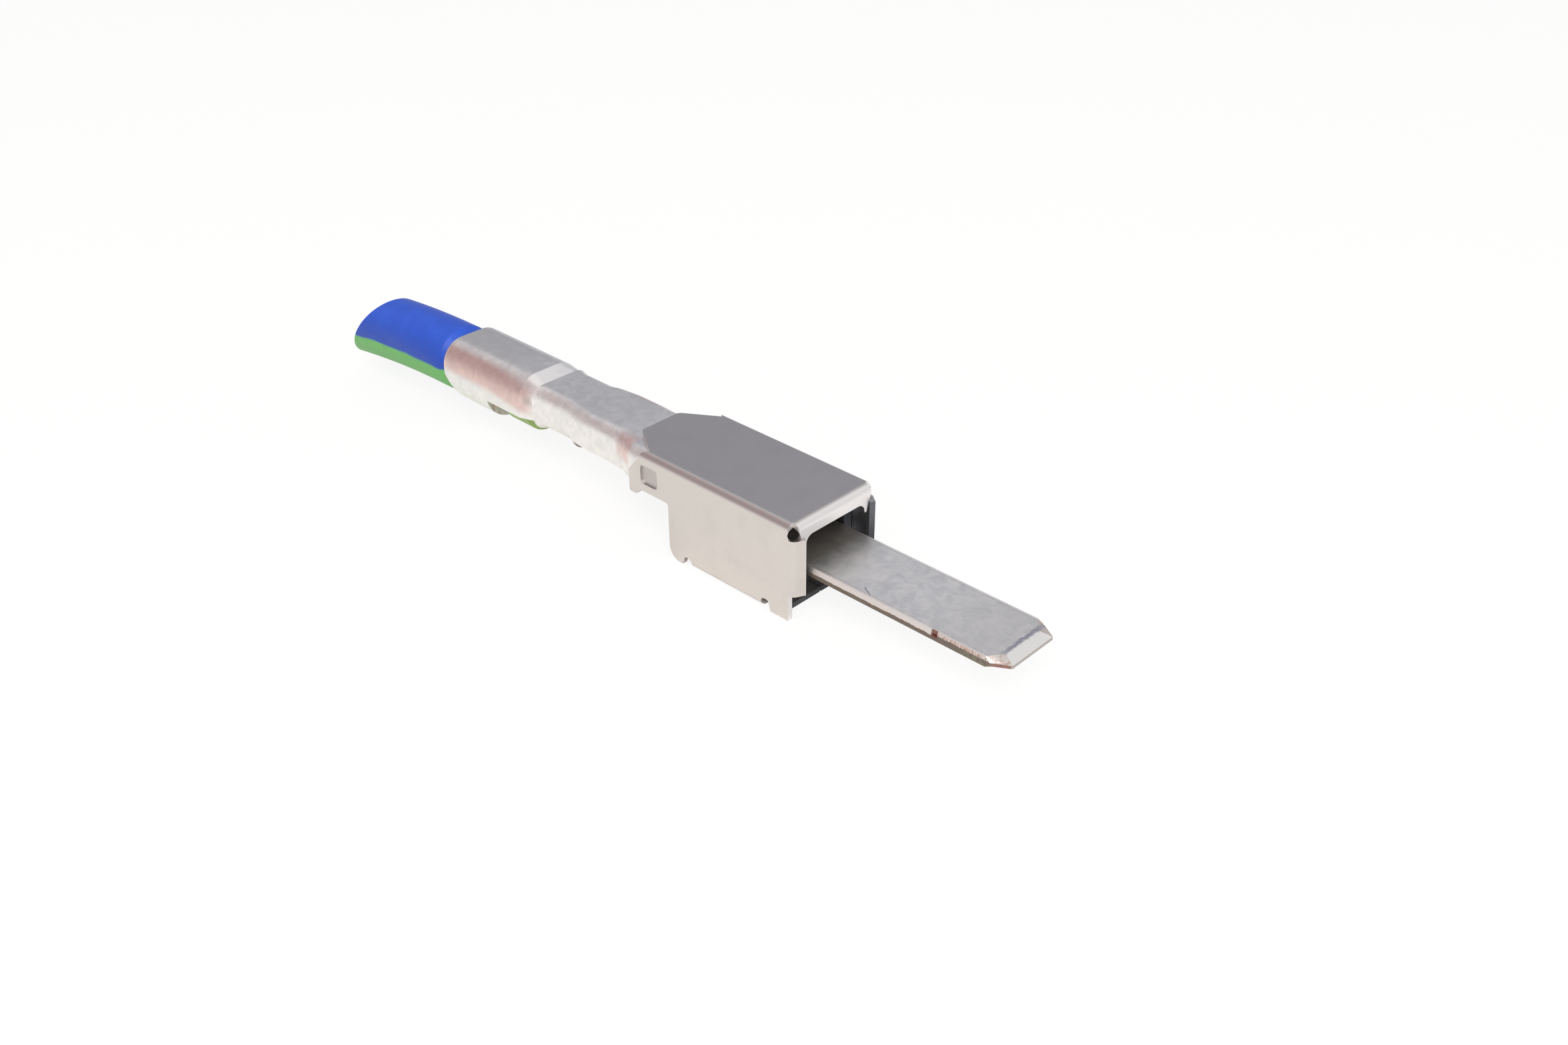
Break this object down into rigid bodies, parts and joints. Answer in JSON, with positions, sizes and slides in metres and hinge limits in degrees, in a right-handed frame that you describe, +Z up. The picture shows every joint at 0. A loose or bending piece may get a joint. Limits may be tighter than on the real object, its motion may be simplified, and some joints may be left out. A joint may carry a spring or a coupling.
{
  "type": "male spade terminal",
  "caption": "Male spade terminal: flat blade standing out of a thin box cover, with conductor and insulation crimps gripping a short cut end of stranded wire",
  "frame": {"origin": "Middle of the cover's underside, in the plane of the cover's front opening", "axes": "+X runs out of the opening along the blade, the mating direction; +Y is across the blade; +Z is up, square to the blade's broad face"},
  "size_m": [0.035, 0.0042, 0.0037],
  "materials": {
    "cover_steel": "satin nickel-plated spring steel sheet",
    "tinned_copper": "satin tin plating over copper alloy, bare copper on its cut edges",
    "insulation": "satin blue wire insulation with a green stripe",
    "bare_copper": "bright bare copper strands"
  },
  "bodies": {
    "root": {"box_cover": "cover_steel", "contact": "tinned_copper", "wire_insulation": "insulation", "conductor_strands": "bare_copper"}
  },
  "joints": []
}
